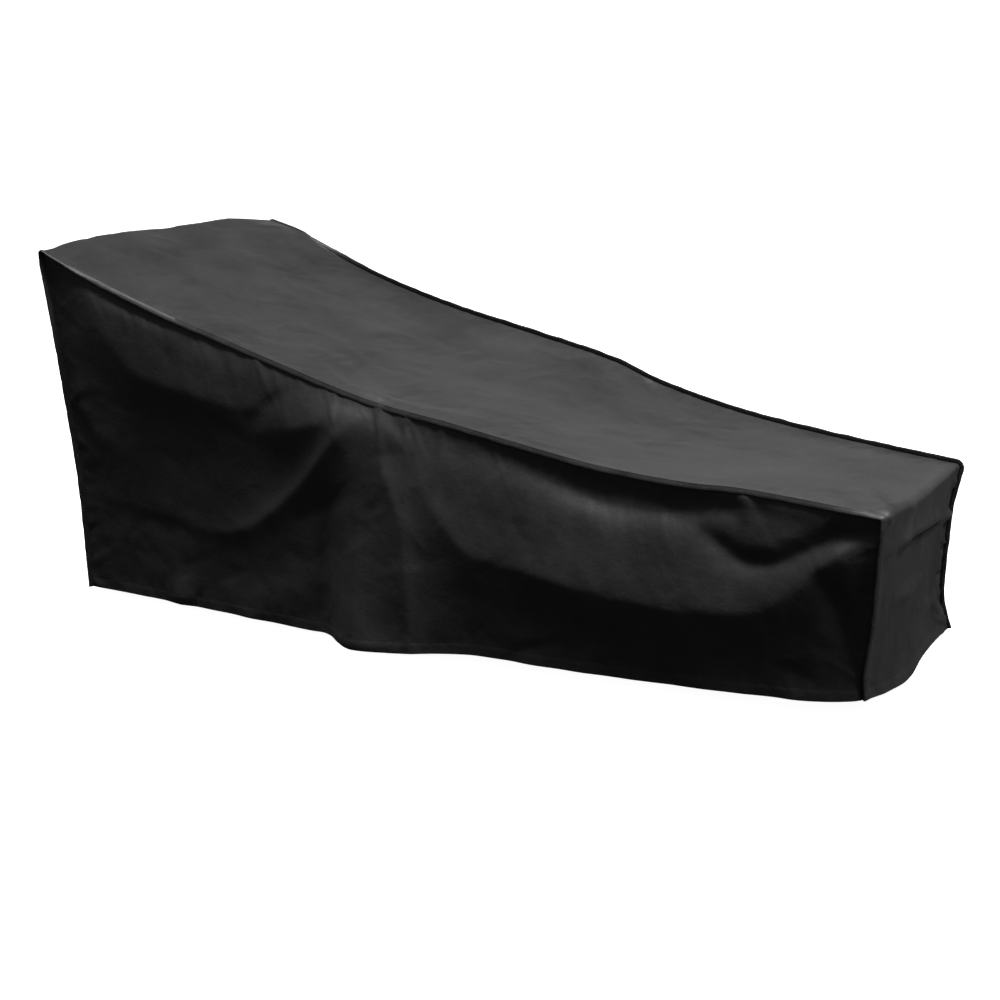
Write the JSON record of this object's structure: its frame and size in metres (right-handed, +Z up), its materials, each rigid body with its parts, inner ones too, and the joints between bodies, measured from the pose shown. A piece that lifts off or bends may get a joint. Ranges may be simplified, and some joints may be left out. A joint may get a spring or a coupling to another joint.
{
  "type": "lounge chair cover",
  "caption": "Fitted weather cover for a sun lounger: tall at the head, low at the foot, with bound edge seams, a turned hem and an open bottom.",
  "frame": {"origin": "on the ground, under the middle of the cover's box", "axes": "+X along the cover from the tall head end to the low foot end, +Y from the near side to the far side, +Z up"},
  "size_m": [2.048, 0.8954, 0.8052],
  "materials": {
    "top_cloth": "coated plain weave, faint sheen",
    "side_cloth": "coated plain weave, faint sheen",
    "binding_tape": "matte woven tape"
  },
  "bodies": {
    "root": {"top_strip": "top_cloth", "near_side_panel": "side_cloth", "far_side_panel": "side_cloth", "near_edge_binding": "binding_tape", "far_edge_binding": "binding_tape"}
  },
  "joints": []
}
